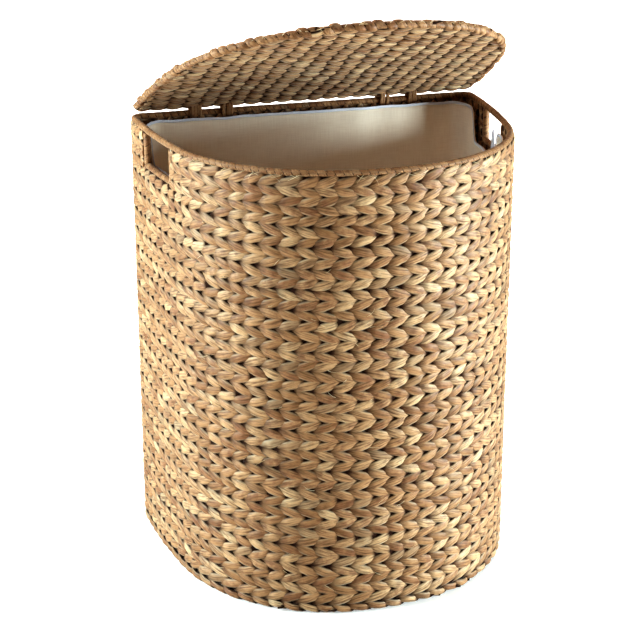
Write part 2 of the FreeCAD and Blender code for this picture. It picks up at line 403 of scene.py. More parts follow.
def end_tree(n, geometry, material):
    """The end of every tree: smooth, made real, with its material."""
    smooth = n.add("GeometryNodeSetShadeSmooth", {0: geometry}).outputs[0]
    whole = n.add("GeometryNodeRealizeInstances", {0: smooth}).outputs[0]
    painted = n.add("GeometryNodeSetMaterial", {"Geometry": whole, "Material": material}).outputs[0]
    n.feed(n.add("NodeGroupOutput").inputs[0], painted)


# %% Geometry tree: twined rope
RINGS = 8                # rings of points from one upright to the next
ROPE_SIZES = {"Course Height": 0.01375, "Swing Out": 0.0033, "Swing Up": 0.0061,
              "Half Thickness": 0.0031, "Half Height": 0.0069, "Flatness": 0.80, "Leaf Reach": 0.82,
              "Leaf Roundness": 0.74, "Tip Size": 0.10, "Back Size": 0.35,
              "Unevenness": 0.0012, "Lumps": 0.0006}
WANDER_SCALE = 11.0      # how quickly the hand's wander changes along the wall
WANDER_UP = 5.0          # strength of the wander up and down, in times the unevenness
WANDER_ALONG = 0.9       # strength of the wander along the wall, in uprights
STRAND_STEP = 173.0      # keeps the leaf numbers of two strands apart
LEAF_FAT = (-1.9, 1.1)   # how much thicker or thinner a leaf may be, in steps
FAT_STEP = 0.11
LEAF_LEAN = (0.76, 1.20)
LEAF_LIFT = 0.0011       # how far a leaf may sit above or below its row
LUMP_SCALE = 140.0
LUMP_GAIN = 3.0


def build_rope_tree():
    tree = bpy.data.node_groups.new("twined rope", "GeometryNodeTree")
    sizes = {name: ("NodeSocketFloat", value) for name, value in ROPE_SIZES.items()}
    add_inputs(tree, {"Path": ("NodeSocketGeometry", None),
                      "Stack Direction": ("NodeSocketVector", (0.0, 0.0, 1.0)),
                      "Courses": ("NodeSocketInt", 1), **sizes,
                      "Leaves Round": ("NodeSocketFloat", 1000.0),
                      "Section Points": ("NodeSocketInt", 10),
                      "Seed": ("NodeSocketInt", 1),
                      "Material": ("NodeSocketMaterial", None)},
               {"Geometry": "NodeSocketGeometry"})
    n = Nodes(tree)
    given = n.add("NodeGroupInput").outputs
    line = n.add("GeometryNodeMeshToCurve", {0: given["Path"]}).outputs[0]
    many = n.add("GeometryNodeDuplicateElements",
                 {"Geometry": line, "Amount": n.times(given["Courses"], 2.0)}, domain="SPLINE")
    number = many.outputs["Duplicate Index"]
    rope = n.math("MODULO", number, 2.0)
    layer = n.math("FLOOR", n.times(number, 0.5))
    course = n.plus(layer, named(n, "course"))
    hand = n.times_plus(n.math("MODULO", course, 2.0), -2.0, 1.0)

    # the place on the flat wall, a little uneven as hand work is
    stack = given["Stack Direction"]
    up = n.vector("SCALE", stack, n.times(layer, given["Course Height"]))
    place = n.vector("ADD", n.add("GeometryNodeInputPosition").outputs[0], up)
    wander = n.grain(place, WANDER_SCALE, 1.5)["Color"]
    sway = n.parts(n.vector("SUBTRACT", wander, (0.5, 0.5, 0.5)))
    shift_up = n.times(n.times(sway[0], given["Unevenness"]), WANDER_UP)
    shift_along = n.times(sway[1], WANDER_ALONG)

    # where the point is in its wave: 0 in the middle of a leaf, -1 and 1 behind the wall
    turn = n.plus(n.plus(named(n, "run"), rope), shift_along)
    cycle = n.times_plus(turn, 0.5, 0.25)
    phase = n.times_plus(n.math("FRACT", cycle), 2.0, -1.0)
    leaf = n.math("FLOORED_MODULO", n.math("FLOOR", cycle), given["Leaves Round"])
    strand = n.times_plus(course, 2.0, rope)
    identity = n.times_plus(strand, STRAND_STEP, leaf)
    seed = given["Seed"]
    fat = chance(n, *LEAF_FAT, identity, seed)
    lift = chance(n, -1.0, 1.0, identity, n.plus(seed, 5.0))
    lean = chance(n, *LEAF_LEAN, identity, n.plus(seed, 17.0))
    from_leaf = n.math("ABSOLUTE", phase)
    reach = given["Leaf Reach"]
    over = n.math("MINIMUM", n.math("DIVIDE", from_leaf, reach), 1.0)
    behind = n.math("MAXIMUM", n.math("DIVIDE", n.minus(from_leaf, reach), n.minus(1.0, reach)), 0.0)
    quarter = math.pi / 2
    swell_over = n.math("COSINE", n.times(over, quarter))
    swell_behind = n.math("SINE", n.times(behind, quarter))
    belly = n.math("POWER", swell_over, given["Leaf Roundness"])
    outward = n.minus(swell_over, swell_behind)
    slant = n.times(n.times(n.math("SIGN", phase), hand), n.minus(over, behind))

    # moved out and up
    reach_up = n.plus(n.times(n.times(slant, lean), given["Swing Up"]), shift_up)
    reach_up = n.times_plus(n.times(lift, belly), LEAF_LIFT, reach_up)
    out = named(n, "out", "FLOAT_VECTOR")
    offset = n.vector("ADD", n.vector("SCALE", out, n.times(outward, given["Swing Out"])),
                      n.vector("SCALE", stack, reach_up))
    shape = moved_by(n, many.outputs[0], n.vector("ADD", offset, up))

    # thick in the middle of a leaf, thin at its tips
    tip = given["Tip Size"]
    plump = n.times_plus(fat, FAT_STEP, 1.0)
    swell = n.times_plus(n.times(belly, plump), n.minus(1.0, tip), tip)
    swell = n.times_plus(swell_behind, given["Back Size"], swell)
    shape = stored(n, shape, {"along": n.math("PINGPONG", turn, given["Leaves Round"]),
                              "front": outward, "lie": phase,
                              "tone": chance(n, 0.0, 1.0, identity, n.plus(seed, 11.0)),
                              "blush": chance(n, 0.0, 1.0, identity, n.plus(seed, 23.0)),
                              "swell": swell})
    shape = facing(n, shape, out)
    shape = n.add("GeometryNodeSetCurveRadius", {0: shape, "Radius": named(n, "swell")}).outputs[0]

    # the cross-section: a flat oval with its own coordinates
    ring, spot = unit_ring(n, given["Section Points"])
    ring = stored(n, ring, {"depth": spot[0], "across": spot[1]})
    flatter = n.times(n.math("SIGN", spot[0]),
                      n.math("POWER", n.math("ABSOLUTE", spot[0]), given["Flatness"]))
    ring = n.add("GeometryNodeSetPosition",
                 {"Geometry": ring, "Position": n.join(flatter, spot[1], 0.0)}).outputs[0]
    tube = swept(n, shape, ring, given["Half Thickness"], given["Half Height"])
    bumps = n.grain(None, LUMP_SCALE, 1.0)[0]
    lumps = n.times(n.minus(bumps, 0.5), n.times(given["Lumps"], LUMP_GAIN))
    end_tree(n, pushed_out(n, tube, lumps), given["Material"])
    return tree


rope_tree = build_rope_tree()
print("twined rope tree has", len(rope_tree.nodes), "nodes")

# %% [markdown]
# ## The wound strip
#
# Every edge wire is covered with a flat strip wound round it. Each turn lies beside the last, a
# little humped, with a groove where two turns meet. The tree makes a tube along the path, then
# lifts its surface along a spiral.

# %% Geometry tree: wound strip
TURN_RINGS = 8           # rings of points in one turn of a wound strip
STRIP_TONE = (-0.1, 0.5)
HUMP_FLATNESS = 4.0      # a higher power makes a flatter hump with a sharper groove


def build_strip_tree():
    tree = bpy.data.node_groups.new("wound strip", "GeometryNodeTree")
    add_inputs(tree, {"Path": ("NodeSocketGeometry", None),
                      "Half Out": ("NodeSocketFloat", 0.004),
                      "Half Up": ("NodeSocketFloat", 0.004),
                      "Hump": ("NodeSocketFloat", 0.0005),
                      "Unevenness": ("NodeSocketFloat", 0.15),
                      "Section Points": ("NodeSocketInt", 12),
                      "Seed": ("NodeSocketInt", 1),
                      "Material": ("NodeSocketMaterial", None)},
               {"Geometry": "NodeSocketGeometry"})
    n = Nodes(tree)
    given = n.add("NodeGroupInput").outputs
    line = n.add("GeometryNodeMeshToCurve", {0: given["Path"]}).outputs[0]
    line = facing(n, line, named(n, "out", "FLOAT_VECTOR"))
    ring, spot = unit_ring(n, given["Section Points"])
    angle = n.math("ARCTAN2", spot[1], n.times(spot[0], -1.0))
    ring = stored(n, ring, {"around": n.math("DIVIDE", angle, 2 * math.pi)})
    tube = swept(n, line, ring, given["Half Out"], given["Half Up"])

    # each turn of the spiral is humped, with a groove on either side
    spiral = n.plus(named(n, "run"), named(n, "around"))
    turn = n.math("FLOOR", spiral)
    within = n.math("FRACT", spiral)
    from_ridge = n.math("ABSOLUTE", n.times_plus(within, 2.0, -1.0))
    hump = n.minus(1.0, n.math("POWER", from_ridge, HUMP_FLATNESS))
    size = chance(n, n.minus(1.0, given["Unevenness"]), 1.0, turn, given["Seed"])
    shape = pushed_out(n, tube, n.times(n.times(hump, size), given["Hump"]))
    # front and depth both carry the hump, so the material paints shade into the grooves between turns
    shape = stored(n, shape, {"tone": chance(n, *STRIP_TONE, turn, n.plus(given["Seed"], 3.0)),
                              "blush": chance(n, 0.0, 1.0, turn, n.plus(given["Seed"], 7.0)),
                              "along": named(n, "around"), "across": n.minus(within, 0.5),
                              "front": hump, "depth": hump, "lie": 1.0})
    end_tree(n, shape, given["Material"])
    return tree


strip_tree = build_strip_tree()
print("wound strip tree has", len(strip_tree.nodes), "nodes")


# %% [markdown]
# ## From a path to a finished piece
#
# A path is a thin mesh of points and edges. Each point carries its run, counted in uprights or in
# turns, and the direction that points out of the wall. `grow` hangs one of the trees on a path,
# takes the result as a plain mesh and throws the path away.

# %% Paths and growing
def path_mesh(name, lines):
    """One mesh from lines of (place, out, run, course); a line may be closed."""
    rows, edges = [], []
    for points, closed in lines:
        first = len(rows)
        rows += points
        last = len(rows) - 1
        edges += [(k, k + 1) for k in range(first, last)]
        if closed:
            edges.append((last, first))
    places, outs, runs, courses = zip(*rows)
    mesh = bpy.data.meshes.new(name)
    mesh.from_pydata(places, edges, [])
    mesh.attributes.new("run", "FLOAT", "POINT").data.foreach_set("value", runs)
    mesh.attributes.new("course", "FLOAT", "POINT").data.foreach_set("value", courses)
    flat = [c for out in outs for c in out]
    mesh.attributes.new("out", "FLOAT_VECTOR", "POINT").data.foreach_set("vector", flat)
    return mesh


def grow(name, mesh, tree, values):
    """Run a geometry tree on a path and keep the result as a plain mesh object."""
    seedling = bpy.data.objects.new(name + "_path", mesh)
    bpy.context.collection.objects.link(seedling)
    modifier = seedling.modifiers.new("tree", "NODES")
    modifier.node_group = tree
    for item in tree.interface.items_tree:
        if item.item_type == "SOCKET" and item.in_out == "INPUT" and item.name in values:
            modifier[item.identifier] = values[item.name]
    ready = seedling.evaluated_get(bpy.context.evaluated_depsgraph_get())
    result = bpy.data.meshes.new_from_object(ready)
    result.name = name
    piece = bpy.data.objects.new(name, result)
    bpy.context.collection.objects.link(piece)
    bpy.data.objects.remove(seedling)
    print(name, "faces", len(result.polygons))
    return piece


def show(piece, body, slot, *nodes):
    """A finished piece rides on its body and stands for CAD nodes, which are hidden. The slot is not
    used.
    """
    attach(piece, body)
    if nodes:
        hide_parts(*nodes)
    return piece


def join_pieces(name, parts):
    """Join plain mesh objects into the first of them."""
    with bpy.context.temp_override(active_object=parts[0], object=parts[0],
                                   selected_objects=parts, selected_editable_objects=parts):
        bpy.ops.object.join()
    parts[0].name = name
    parts[0].data.name = name
    return parts[0]


def plan_line(plan, start, end, step, z, unit, closed=False, course=0.0):
    """Points along a plan from one run to another, at a height z."""
    count = max(2, round((end - start) / step))
    points = []
    for k in range(count + (0 if closed else 1)):
        run = start + (end - start) * k / count
        place, out = plan.at(run)
        points.append((place + UP * z, out, run / unit, course))
    return points, closed


# %% [markdown]
# ## Finishes
#
# Dried hyacinth stalk is pithy and flattened. It has fine lengthwise fibres, long soft creases,
# a range of tans from straw to red-brown, and now and then a grey or a pale leaf. The group
# "dried stalk" makes the colour, the roughness, the gloss and the height of the fibres from the
# strand's own coordinates, so the fibres follow every bend. Rope and strip use it with their own
# values. Shade is painted into the colour from the strand's own shape: its flanks, the end that
# is tucked in, and the sides that face into the wall are made dark. The flanks also carry pale
# folds that are partly a painted highlight.

# %% Shader group: dried stalk
STALK_TONES = ((0.05, srgb(0.54, 0.37, 0.23)), (0.28, srgb(0.64, 0.465, 0.31)),
               (0.50, srgb(0.71, 0.53, 0.37)), (0.74, srgb(0.77, 0.605, 0.44)),
               (0.98, srgb(0.88, 0.76, 0.60)))
RUST, RUST_SHARE = srgb(0.50, 0.30, 0.19), 0.65
GREY, GREY_SHARE = srgb(0.56, 0.47, 0.37), 0.5
STREAK, STREAK_SHARE = srgb(0.33, 0.19, 0.10), 0.75
# a pale colour for the flanks: partly the stalk's lighter folded edge, partly a painted highlight
PALE_FOLD_HIGHLIGHT, FOLD_HIGHLIGHT_SHARE = srgb(0.91, 0.82, 0.67), 0.28
# a dark brown that is painted into the gaps as shade
PAINTED_GAP_SHADE = srgb(0.19, 0.09, 0.035)
TONE_APART = 61.0        # moves each leaf to another part of the noise


def build_stalk_group():
    tree = bpy.data.node_groups.new("dried stalk", "ShaderNodeTree")
    inputs = {"Along": 0.0, "Across": 0.0, "Tone": 0.5, "Blush": 0.5, "Shade": 1.0,
              "Fibre Count": 9.0, "Length Scale": 1.2}
    add_inputs(tree, {name: ("NodeSocketFloat", value) for name, value in inputs.items()},
               {"Color": "NodeSocketColor", "Height": "NodeSocketFloat",
                "Roughness": "NodeSocketFloat", "Gloss": "NodeSocketFloat"})
    n = Nodes(tree)
    given = n.add("NodeGroupInput").outputs
    far = n.times(given["Tone"], TONE_APART)
    long = n.times(given["Along"], given["Length Scale"])
    wide = n.times(given["Across"], given["Fibre Count"])

    # fine fibres, broad creases and blotches, each stretched along the strand
    fibres = n.grain(n.join(long, wide, far), 1.0, 4.0, 0.6)[0]
    creases = n.grain(n.join(n.times(long, 0.6), n.times(wide, 0.28), far), 1.0)[0]
    blotch = n.grain(n.join(n.times(long, 1.6), n.times(wide, 0.16), far), 1.3, 3.0, 0.65)[0]
    ramp = n.add("ShaderNodeValToRGB",
                 {"Fac": n.plus(n.times(given["Tone"], 0.62), n.times(blotch, 0.42))})
    stops = ramp.color_ramp.elements
    for position, _ in STALK_TONES[1:-1]:
        stops.new(position)
    for stop, (position, shade) in zip(stops, STALK_TONES):
        stop.position = position
        stop.color = shade

    # red-brown and grey leaves, dark streaks, pale folds with a painted highlight, and painted shade
    # in the gaps, one over the other
    rust = n.times(n.spread(n.times_plus(given["Blush"], 0.35, blotch), 0.68, 0.92), RUST_SHARE)
    color = n.blend(rust, ramp.outputs[0], RUST)
    color = n.blend(n.spread(given["Blush"], 0.10, 0.0, 0.0, GREY_SHARE), color, GREY)
    color = n.blend(n.spread(fibres, 0.56, 0.34, 0.0, STREAK_SHARE), color, STREAK)
    # the flanks get pale streaks, partly the lighter folded edge and partly a painted highlight
    side = n.math("ABSOLUTE", given["Across"])
    fold_highlight = n.times(n.spread(side, 0.50, 0.80), n.spread(creases, 0.36, 0.58))
    color = n.blend(n.times(fold_highlight, FOLD_HIGHLIGHT_SHARE), color, PALE_FOLD_HIGHLIGHT)
    # where Shade is low the colour turns to the painted gap shade, and the stalk also turns rough and
    # loses its coat there
    n.fill(n.add("NodeGroupOutput"),
           {"Color": n.blend(given["Shade"], PAINTED_GAP_SHADE, color),
            "Height": n.plus(n.times(fibres, 0.45), n.times(creases, 0.9)),
            "Roughness": n.spread(given["Shade"], 0.0, 0.6, 1.0, 0.60),
            "Gloss": n.times(given["Shade"], 0.12)})
    return tree


stalk_group = build_stalk_group()


# %% Materials of rope and strip
def attribute(n, name):
    return n.add("ShaderNodeAttribute", attribute_name=name).outputs["Fac"]


def relief(n, height, strength, distance):
    """A bump that stands as high as the distance, in metres."""
    return n.add("ShaderNodeBump", {"Height": height, "Strength": strength,
                                    "Distance": distance}).outputs[0]


def open_shade(n, edge_full, over_full):
    """Painted shade: 1 where a strand lies open to the light, 0 in the gaps and where it passes
    behind.
    """
    depth = attribute(n, "depth")
    front = attribute(n, "front")
    behind = n.math("LESS_THAN", front, 0.0)
    # sides that face into the wall, seen through the gaps, are painted fully dark as shade
    back_seen = n.times(n.math("GREATER_THAN", depth, 0.0), behind)
    # the flanks of a strand and the parts that pass behind are painted darker, as shade between
    # strands
    edge = n.times(n.spread(n.math("ABSOLUTE", depth), 0.18, edge_full),
                   n.spread(n.math("ABSOLUTE", front), 0.0, over_full))
    # the end tucked under the neighbouring leaf gets a painted shadow
    tucked_shadow = n.spread(attribute(n, "lie"), -0.70, -0.18, 0.34, 1.0)
    edge = n.times(edge, n.math("MAXIMUM", tucked_shadow, behind))
    return n.times(edge, n.minus(1.0, back_seen))


def stalk_material(name, fibre_count, length_scale, edge_full, over_full, bump):
    """Dried stalk on a strand that carries its own coordinates."""
    material, n, shader = start_material(name)
    stalk = {word.title(): attribute(n, word) for word in ("along", "across", "tone", "blush")}
    group = n.add("ShaderNodeGroup", node_tree=stalk_group)
    n.fill(group, {**stalk, "Shade": open_shade(n, edge_full, over_full),
                   "Fibre Count": fibre_count, "Length Scale": length_scale})
    n.fill(shader, {"Base Color": group.outputs["Color"],
                    "Roughness": group.outputs["Roughness"],
                    "Coat Weight": group.outputs["Gloss"], "Coat Roughness": 0.40,
                    "Sheen Weight": 0.13, "Sheen Roughness": 0.40,
                    "Sheen Tint": (1.0, 0.90, 0.76, 1.0), "Specular IOR Level": 0.22,
                    "Normal": relief(n, group.outputs["Height"], bump, 0.0012)})
    return material


rope_finish = stalk_material("hyacinth_rope", fibre_count=3.4, length_scale=1.1,
                             edge_full=0.66, over_full=0.40, bump=1.0)
strip_finish = stalk_material("hyacinth_strip", fibre_count=4.4, length_scale=4.0,
                              edge_full=0.40, over_full=0.30, bump=0.6)

# %% [markdown]
# The bag is plain cotton canvas. The group "plain weave" crosses two sets of threads, each a
# little uneven, and gives their height and a soft change of colour: mostly the threads' own uneven
# tone, with the low places between threads painted a little darker as shade. The bag and its hem use
# it.


# %% Shader group: plain weave
SLUB_LONG, SLUB_WIDE = 40.0, 900.0     # how quickly a thread's thickness changes, per metre


def build_weave_group():
    tree = bpy.data.node_groups.new("plain weave", "ShaderNodeTree")
    add_inputs(tree, {"Cloth": ("NodeSocketVector", (0.0, 0.0, 0.0)),
                      "Thread": ("NodeSocketFloat", 0.0011),
                      "Color": ("NodeSocketColor", (0.8, 0.8, 0.8, 1.0)),
                      "Shade Color": ("NodeSocketColor", (0.6, 0.6, 0.6, 1.0))},
               {"Color": "NodeSocketColor", "Height": "NodeSocketFloat"})
    n = Nodes(tree)
    given = n.add("NodeGroupInput").outputs
    cloth = given["Cloth"]
    spot = n.parts(cloth)
    shift = n.times(n.grain(cloth, 60.0)[0], 0.8)
    warp, weft = [n.math("SINE", n.times(n.plus(n.math("DIVIDE", spot[k], given["Thread"]), shift),
                                         math.pi)) for k in (0, 1)]
    height = n.times_plus(n.times(warp, weft), 0.5, 0.5)
    slub_x, slub_y = [n.grain(n.vector("MULTIPLY", cloth, scale), 1.0)[0]
                      for scale in ((SLUB_LONG, SLUB_WIDE, 1.0), (SLUB_WIDE, SLUB_LONG, 1.0))]
    slub = n.times(n.plus(slub_x, slub_y), 0.5)
    # the threads' uneven thickness gives the tone; the low places of the weave are painted a little
    # darker as shade
    shade = n.spread(n.times_plus(slub, 0.8, n.times(height, 0.2)), 0.30, 0.70)
    n.fill(n.add("NodeGroupOutput"),
           {"Color": n.blend(shade, given["Shade Color"], given["Color"]),
            "Height": n.plus(height, slub)})
    return tree


weave_group = build_weave_group()


# %% Cloth, hair and wire finishes
def cloth_material(name, color, shade_color, thread):
    material, n, shader = start_material(name)
    group = n.add("ShaderNodeGroup", node_tree=weave_group)
    n.fill(group, {"Cloth": n.add("ShaderNodeUVMap", uv_map="cloth").outputs[0],
                   "Thread": thread, "Color": color, "Shade Color": shade_color})
    n.fill(shader, {"Base Color": group.outputs["Color"], "Roughness": 0.85, "Sheen Weight": 0.2,
                    "Normal": relief(n, group.outputs["Height"], 0.35, 0.0003)})
    return material


cotton_finish = cloth_material("liner_cotton", srgb(1.0, 0.92, 0.83), srgb(0.93, 0.83, 0.73),
                               thread=0.0011)
hem_finish = cloth_material("hem_cotton", srgb(0.93, 0.91, 0.93), srgb(0.84, 0.81, 0.83),
                            thread=0.0009)


def grained_material(name, low_color, high_color, roughness, metallic, scale):
    """A small plain finish with grain on the object's own coordinates."""
    material, n, shader = start_material(name)
    grain = n.grain(n.add("ShaderNodeTexCoord").outputs["Object"], scale, 4.0)[0]
    n.fill(shader, {"Base Color": n.blend(n.spread(grain, 0.35, 0.65), low_color, high_color),
                    "Roughness": n.spread(grain, 0.3, 0.7, roughness - 0.12, roughness + 0.12),
                    "Metallic": metallic, "Normal": relief(n, grain, 0.3, 0.0002)})
    return material


hair_finish = grained_material("hyacinth_fibre", srgb(0.80, 0.66, 0.47), srgb(0.93, 0.86, 0.72),
                               roughness=0.6, metallic=0.0, scale=90.0)
wire_finish = grained_material("iron_wire", srgb(0.16, 0.11, 0.08), srgb(0.30, 0.22, 0.17),
                               roughness=0.5, metallic=0.7, scale=220.0)

# %% [markdown]
# ## The woven wall
#
# The wall is 43 courses high. The lower courses run all the way round and are made in several
# lots, so no piece gets too heavy. Above them the weave is two bands, because the hand holes
# interrupt it: one round the front, one across the back.

# %% Wall courses
COURSE = ROPE_SIZES["Course Height"]
BORDER_TOP = wall_low[2]
lower_courses = round((wall_high[2] - BORDER_TOP) / COURSE)
LOTS = 5
WALL_SEED = 3


def rope_values(courses, seed, **changes):
    """Inputs of the rope tree: the usual sizes, and any that are changed by name."""
    values = {"Stack Direction": tuple(UP), "Courses": courses, "Seed": seed,
              "Material": rope_finish, **ROPE_SIZES}
    values.update({name.replace("_", " ").title(): value for name, value in changes.items()})
    return values


made = 0
for lot in range(LOTS):
    count = lower_courses // LOTS + (1 if lot < lower_courses % LOTS else 0)
    z = BORDER_TOP + (made + 0.5) * COURSE
    line = plan_line(wall_plan, 0.0, wall_plan.length, STAKE_PITCH / RINGS, z, STAKE_PITCH,
                     closed=True, course=float(made))
    wall = grow("wall_rope_%d" % (lot + 1), path_mesh("wall_path", [line]), rope_tree,
                rope_values(count, WALL_SEED, leaves_round=STAKES / 2.0))
    show(wall, "basket", "fibre_rope", *(["lower_wall_weave"] if lot == 0 else []))
    made += count
print("courses all round:", made)

# %% The bands beside the hand holes
front_low, front_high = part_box("upper_front_weave")
back_low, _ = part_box("upper_back_weave")
front_end = wall_plan.run_at(front_high[1])
back_start = wall_plan.run_at(back_low[1])
UPPER_COURSES = 4
FIRST_ROW = 0.45         # height of the first row over the sills, in courses
upper_z = front_low[2] + FIRST_ROW * COURSE
front_line = plan_line(wall_plan, -front_end, front_end, STAKE_PITCH / RINGS, upper_z,
                       STAKE_PITCH, course=float(made))
front_band = grow("upper_front_rope", path_mesh("front_path", [front_line]), rope_tree,
                  rope_values(UPPER_COURSES, WALL_SEED, course_height=0.0121))
show(front_band, "basket", "fibre_rope", "upper_front_weave")
back_line = plan_line(wall_plan, back_start, wall_plan.length - back_start, STAKE_PITCH / RINGS,
                      upper_z, STAKE_PITCH, course=float(made))
back_band = grow("upper_back_rope", path_mesh("back_path", [back_line]), rope_tree,
                 rope_values(UPPER_COURSES, WALL_SEED, course_height=0.0124, unevenness=0.0020))
show(back_band, "basket", "fibre_rope", "upper_back_weave")

# %% [markdown]
# ## The borders
#
# The last rope at the foot turns under the bottom wire, so it shows as one more row of short
# leaves standing on the floor. At the top a flat strip is wound round the rim wire, and the same
# strip covers the wires of the two hand holes.

# %% Foot border and rim
foot_low, foot_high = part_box("base_border_wrap")
FOOT_LIFT = 0.0005       # keeps the roundest leaves off the floor
foot_z = (foot_low[2] + foot_high[2]) / 2 + FOOT_LIFT
foot_line = plan_line(wall_plan, 0.0, wall_plan.length, STAKE_PITCH / RINGS, foot_z,
                      STAKE_PITCH, closed=True, course=1.0)
foot = grow("foot_border_rope", path_mesh("foot_path", [foot_line]), rope_tree,
            rope_values(1, 41, leaves_round=STAKES / 2.0, swing_up=0.0028, half_height=0.0050,
                        unevenness=0.0003, leaf_reach=0.62))
show(foot, "basket", "fibre_rope", "base_border_wrap")

rim_low, rim_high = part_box("rim_wrap")
rim_z = (rim_low[2] + rim_high[2]) / 2
RIM_TURN = 0.0105
STRIP_STEP = 1.0 / TURN_RINGS


def strip_values(half_out, half_up, hump, seed, unevenness=0.5):
    """Inputs of the strip tree."""
    return {"Half Out": half_out, "Half Up": half_up, "Hump": hump, "Seed": seed,
            "Unevenness": unevenness, "Section Points": 12, "Material": strip_finish}


rim_turns = round(wall_plan.length / RIM_TURN)
rim_unit = wall_plan.length / rim_turns
rim_line = plan_line(wall_plan, 0.0, wall_plan.length, rim_unit * STRIP_STEP, rim_z, rim_unit,
                     closed=True)
rim = grow("rim_strip", path_mesh("rim_path", [rim_line]), strip_tree,
           strip_values(half_out=0.0040, half_up=0.0040, hump=0.0007, seed=5))
show(rim, "basket", "fibre_strip", "rim_wrap")


# %% Sills and posts of the hand holes
def strip_along(name, points, unit, values):
    """Wind a strip along any open line of (place, out); one turn takes the unit."""
    total = 0.0
    line = []
    for k, (place, out) in enumerate(points):
        if k:
            total += (place - points[k - 1][0]).length
        line.append((place, out, total / unit, 0.0))
    return grow(name, path_mesh(name + "_path", [(line, False)]), strip_tree, values)


def even(start, end, step):
    """Numbers from start to end at about the given step."""
    count = max(2, round(abs(end - start) / step))
    return [start + (end - start) * k / count for k in range(count + 1)]


POST_TURN = 0.012        # length of one turn of the strip
POST_INSET = 0.005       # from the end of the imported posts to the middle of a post
for side, word in ((1.0, "right"), (-1.0, "left")):
    sill_low, sill_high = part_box("hand_hole_sill_wrap_" + word)
    sill_z = (sill_low[2] + sill_high[2]) / 2
    sill = []
    for y in even(sill_low[1], sill_high[1], POST_TURN * STRIP_STEP):
        place, out = wall_plan.at(side * wall_plan.run_at(y))
        sill.append((place + UP * sill_z, out))
    piece = strip_along("hand_hole_sill_strip_" + word, sill, POST_TURN,
                        strip_values(half_out=0.0040, half_up=0.0040, hump=0.0006, seed=9))
    show(piece, "basket", "fibre_strip", "hand_hole_sill_wrap_" + word)
    post_low, post_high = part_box("hand_hole_post_wraps_" + word)
    parts = []
    for y in (post_low[1] + POST_INSET, post_high[1] - POST_INSET):
        place, out = wall_plan.at(side * wall_plan.run_at(y))
        post = [(place + UP * z, out)
                for z in even(post_low[2], post_high[2], POST_TURN * STRIP_STEP)]
        parts.append(strip_along("post_strip", post, POST_TURN,
                                 strip_values(half_out=0.0045, half_up=0.0045, hump=0.0006,
                                              seed=11 + len(parts))))
    posts = join_pieces("hand_hole_post_strips_" + word, parts)
    show(posts, "basket", "fibre_strip", "hand_hole_post_wraps_" + word)

# %% [markdown]
# ## The flat panels: bottom and lid
#
# Both panels are woven back and forth in straight rows, parallel with the flat back. The same
# rope tree makes them: each row is a path of its own, as long as the panel is wide there, and
# the rope leans out of the panel instead of out of the wall.

# %% Rows of a flat panel
PANEL_MARGIN = 0.004     # from the end of a row to the line of the plan
DOWN = Vector((0.0, 0.0, -1.0))


def panel_rows(plan, first_y, last_y, rows, z):
    """One line for each row of a flat panel that looks down."""
    lines = []
    for row in range(rows):
        y = first_y + (last_y - first_y) * row / (rows - 1)
        half = plan.half_width(y) - PANEL_MARGIN
        points = [(Vector((x, y, z)), DOWN, x / STAKE_PITCH, float(row))
                  for x in even(-half, half, STAKE_PITCH / RINGS)]
        lines.append((points, False))
    return lines


PANEL_SIZES = {"swing_out": 0.0025, "half_thickness": 0.0031, "leaf_reach": 0.58, "back_size": 0.80,
               "unevenness": 0.0010, "stack_direction": (0.0, 1.0, 0.0)}
BACK_EDGE = wall_high[1] - WALL / 2
base_low, base_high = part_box("base_weave")
BASE_ROWS = 26
BASE_LIFT = 0.0003       # keeps the roundest leaves off the floor
base_gap = (2 * BACK_EDGE) / (BASE_ROWS + 1)
base_rows = panel_rows(wall_plan, BACK_EDGE - base_gap, -BACK_EDGE + base_gap, BASE_ROWS,
                       (base_low[2] + base_high[2]) / 2 + BASE_LIFT)
base_panel = grow("base_rope_rows", path_mesh("base_path", base_rows), rope_tree,
                  rope_values(1, 61, swing_up=0.0052, **PANEL_SIZES))
show(base_panel, "basket", "fibre_rope", "base_weave")

# %% [markdown]
# ## The lid
#
# The lid is made shut, where its rows are level, and then turned open about the rim at the back,
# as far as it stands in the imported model. Its edge wire is hidden by the course ends, which fold
# round it one after another. Along the back the edge is a single rope.

# %% Lid panel
hinge = Vector((0.0, BACK_EDGE, rim_z))
LID_OPEN = math.radians(26.0)
LID_RISE = 0.011                 # from the hinge line to the middle of the shut lid
LID_EDGE_INSET = 0.010
LID_SHIFT = 0.002
open_turn = (Matrix.Translation(hinge) @ Matrix.Rotation(LID_OPEN, 4, Vector((-1, 0, 0)))
             @ Matrix.Translation(-hinge))
lid_plan = Plan(LID_EDGE_INSET, back_shift=LID_SHIFT)
lid_z = rim_z + LID_RISE


def show_on_lid(piece, slot, *nodes):
    """Turn a lid piece open with the lid, then show it."""
    piece.data.transform(open_turn)
    return show(piece, "lid", slot, *nodes)


LID_ROWS = 26
lid_back = lid_plan.back_y
lid_front = -(DEPTH / 2 - LID_EDGE_INSET)
lid_gap = (lid_back - lid_front) / (LID_ROWS + 1)
lid_rows = panel_rows(lid_plan, lid_back - lid_gap, lid_front + lid_gap, LID_ROWS, lid_z)
lid_panel = grow("lid_rope_rows", path_mesh("lid_path", lid_rows), rope_tree,
                 rope_values(1, 71, swing_up=0.0054, **PANEL_SIZES))
show_on_lid(lid_panel, "fibre_rope", "lid_weave")

